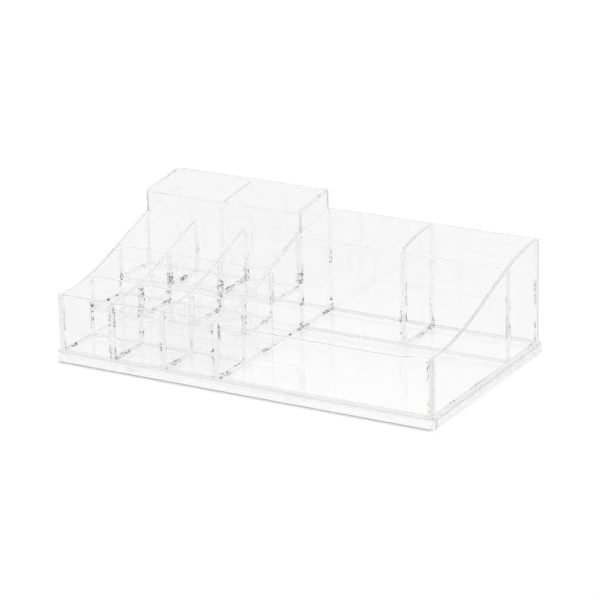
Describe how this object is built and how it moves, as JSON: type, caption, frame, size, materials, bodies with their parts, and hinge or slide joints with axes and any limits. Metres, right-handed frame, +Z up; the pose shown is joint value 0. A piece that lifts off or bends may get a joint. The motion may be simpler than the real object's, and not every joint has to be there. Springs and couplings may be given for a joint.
{
  "type": "vanity organizer",
  "caption": "Clear tabletop make-up organizer with stepped lipstick wells, a divided brush cup, an open tray and rear bays between S-curved side walls on a lipped base plate.",
  "frame": {"origin": "middle of the base plate's underside, on the surface that the organizer stands on", "axes": "+X to the user's right along the longest side, with the wells at -X and the tray at +X; -Y is the front, +Z is up"},
  "size_m": [0.2244, 0.1266, 0.0731],
  "materials": {
    "clear_base": "polished clear acrylic, thick plate",
    "clear_wall": "polished clear acrylic sheet",
    "clear_divider": "polished clear acrylic sheet",
    "clear_cup": "polished clear acrylic, moulded"
  },
  "bodies": {
    "root": {"base_plate": "clear_base", "front_wall": "clear_wall", "back_wall": "clear_wall", "left_side_wall": "clear_wall", "right_side_wall": "clear_wall", "inner_side_wall": "clear_wall", "cross_partition": "clear_wall", "rear_bay_divider": "clear_wall", "front_row_partition": "clear_divider", "rear_row_partition": "clear_divider", "left_column_divider": "clear_divider", "right_column_divider": "clear_divider", "middle_step_floor": "clear_divider", "rear_step_floor": "clear_divider", "brush_cup_collar": "clear_cup", "brush_cup_divider": "clear_cup"}
  },
  "joints": []
}
